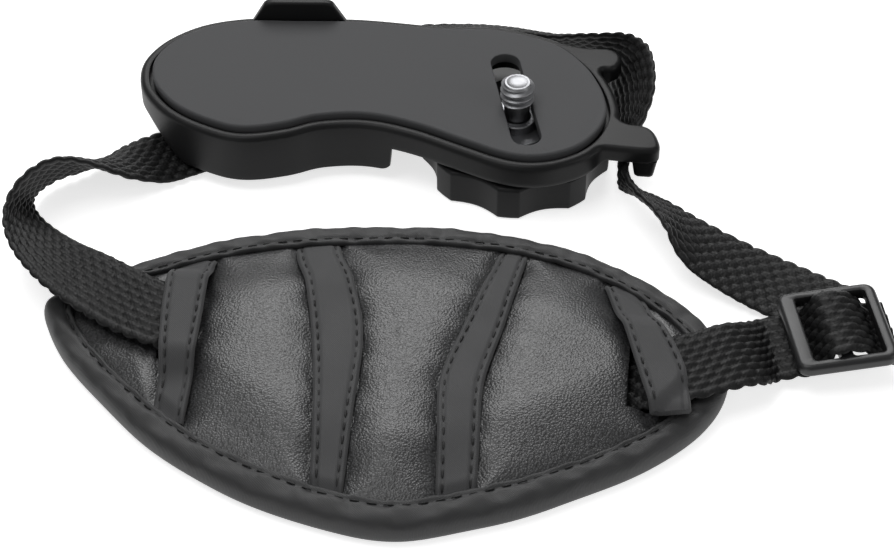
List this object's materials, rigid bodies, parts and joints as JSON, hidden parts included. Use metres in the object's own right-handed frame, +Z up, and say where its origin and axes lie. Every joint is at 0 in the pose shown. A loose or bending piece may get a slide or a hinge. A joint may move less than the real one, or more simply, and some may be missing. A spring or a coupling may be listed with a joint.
{
  "type": "camera wrist strap",
  "caption": "Camera hand strap: slotted base plate with a sliding camera screw, a padded leather hand pad and webbing with a slider.",
  "frame": {"origin": "bottom centre of the bounding box, on the table that the strap lies on", "axes": "+X along the plate and the pad toward the slider, +Y from the pad toward the plate, +Z up, out of the grip pad"},
  "size_m": [0.1574, 0.1372, 0.0183],
  "materials": {
    "moulded_plastic": "fine satin moulding",
    "grip_rubber": "matte, fine grain",
    "screw_steel": "turned steel",
    "knob_plastic": "matte moulding",
    "washer_steel": "turned steel",
    "webbing_weave": "ribbed weave",
    "slider_plastic": "satin moulding",
    "pad_leather": "pebbled grain",
    "pad_foam": "open foam",
    "lining_cloth": "short nap",
    "binding_cloth": "fine ribbed tape",
    "band_cloth": "fine ribbed tape"
  },
  "bodies": {
    "strap": {"base_plate": "moulded_plastic", "grip_pad": "grip_rubber", "webbing": "webbing_weave", "slider_buckle": "slider_plastic", "pad_face": "pad_leather", "pad_foam": "pad_foam", "pad_lining": "lining_cloth", "edge_binding": "binding_cloth", "loop_band_left": "band_cloth", "rib_band_left": "band_cloth", "rib_band_right": "band_cloth", "loop_band_right": "band_cloth"},
    "slide": {"slide_washer": "washer_steel"},
    "screw": {"camera_screw": "screw_steel", "clamp_knob": "knob_plastic"}
  },
  "joints": [
    {"name": "screw_slide", "type": "slide", "parent": "strap", "child": "slide", "axis": [0.2487, -0.9686, 0], "range_m": [-0.0125, 0.005]},
    {"name": "screw_turn", "type": "hinge", "parent": "slide", "child": "screw", "pos_m": [0.00953, 0.02911, 0], "axis": [0, 0, 1], "continuous": true}
  ]
}
